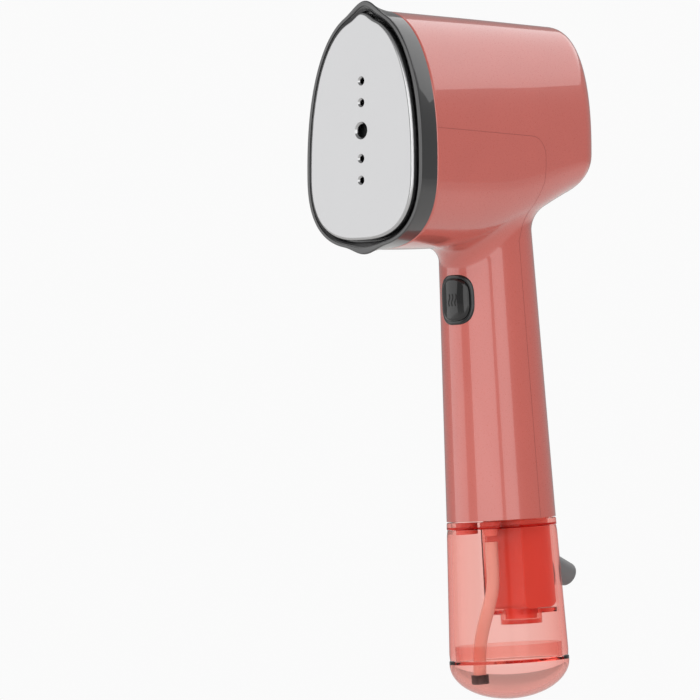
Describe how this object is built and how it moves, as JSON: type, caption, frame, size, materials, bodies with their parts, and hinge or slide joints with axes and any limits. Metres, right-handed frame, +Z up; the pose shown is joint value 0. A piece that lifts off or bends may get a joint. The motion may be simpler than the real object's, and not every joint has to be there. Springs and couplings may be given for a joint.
{
  "type": "garment steamer",
  "caption": "Handheld garment steamer: deep head with a steam plate, leaning round grip with a press button, and a clear water tank that slides off.",
  "frame": {"origin": "centre of the middle steam port, on the front face of the steam plate", "axes": "-Y is the way the steam leaves, square to the plate; +Z up along the plate's height; +X to the object's left as seen from behind the plate"},
  "size_m": [0.0704, 0.1296, 0.2978],
  "materials": {
    "coral_housing": "gloss",
    "bezel_grey": "gloss",
    "polished_plate": "polished",
    "silicone_seal": "matte",
    "cast_aluminium": "as cast",
    "heater_sheath": "satin",
    "ceramic_bush": "matte",
    "steel_sheet": "satin",
    "brass_fitting": "turned",
    "phenolic": "matte",
    "fuse_metal": "satin",
    "button_ring": "gloss",
    "button_black": "gloss",
    "spring_steel": "drawn",
    "switch_plastic": "matte",
    "inner_plastic": "matte",
    "screw_steel": "zinc plated",
    "pump_plastic": "matte",
    "rubber_grommet": "matte",
    "silicone_hose": "translucent",
    "board_green": "satin",
    "component_black": "matte",
    "lead_sleeve": "matte",
    "gland_grey": "matte",
    "clear_coral": "clear gloss",
    "strainer_black": "matte"
  },
  "bodies": {
    "housing": {"front_shell": "coral_housing", "rear_shell": "coral_housing", "front_bezel": "bezel_grey", "soleplate": "polished_plate", "soleplate_gasket": "silicone_seal", "steam_chamber": "cast_aluminium", "heating_element": "heater_sheath", "chamber_spacers": "ceramic_bush", "chamber_gasket": "silicone_seal", "chamber_cover": "steel_sheet", "water_nozzle": "brass_fitting", "thermostat": "phenolic", "thermal_fuse": "fuse_metal", "heat_shield": "steel_sheet", "button_surround": "button_ring", "button_spring": "spring_steel", "steam_switch": "switch_plastic", "switch_plate": "inner_plastic", "switch_screws": "screw_steel", "bezel_screws": "screw_steel", "chamber_screws": "screw_steel", "cover_screws": "screw_steel", "cradle_screws": "screw_steel", "board_screws": "screw_steel", "dock_screws": "screw_steel", "pump_body": "pump_plastic", "pump_spring": "spring_steel", "pump_cradle": "inner_plastic", "pump_grommets": "rubber_grommet", "suction_hose": "silicone_hose", "delivery_hose": "silicone_hose", "control_board": "board_green", "board_components": "component_black", "mains_leads": "lead_sleeve", "heater_leads": "lead_sleeve", "tank_dock": "coral_housing", "cord_gland": "gland_grey", "cord_clamp": "inner_plastic"},
    "button": {"steam_button": "button_black"},
    "plunger": {"switch_plunger": "inner_plastic"},
    "piston": {"pump_piston": "heater_sheath"},
    "tank": {"water_tank": "clear_coral", "tank_lid": "clear_coral", "tank_base": "clear_coral", "tank_seal": "silicone_seal", "fill_plug": "silicone_seal", "pickup_tube": "silicone_hose", "pickup_strainer": "strainer_black"}
  },
  "joints": [
    {"name": "button_press", "type": "slide", "parent": "housing", "child": "button", "axis": [0, 0.9967, 0.0816], "range_m": [0, 0.0018], "stiffness_N_per_m": 700, "springref_m": -0.0012, "deforming": ["button_spring"]},
    {"name": "switch_travel", "type": "slide", "parent": "housing", "child": "plunger", "axis": [0, 0.9967, 0.0816], "range_m": [0, 0.0018]},
    {"name": "piston_stroke", "type": "slide", "parent": "housing", "child": "piston", "axis": [0, -0.0816, 0.9967], "range_m": [0, 0.0025], "stiffness_N_per_m": 400, "deforming": ["pump_spring"]},
    {"name": "tank_release", "type": "slide", "parent": "housing", "child": "tank", "axis": [0, 0.0816, -0.9967], "range_m": [0, 0.08]}
  ],
  "couplings": [
    {"joint": "switch_travel", "follows": "button_press", "ratio": 1}
  ]
}
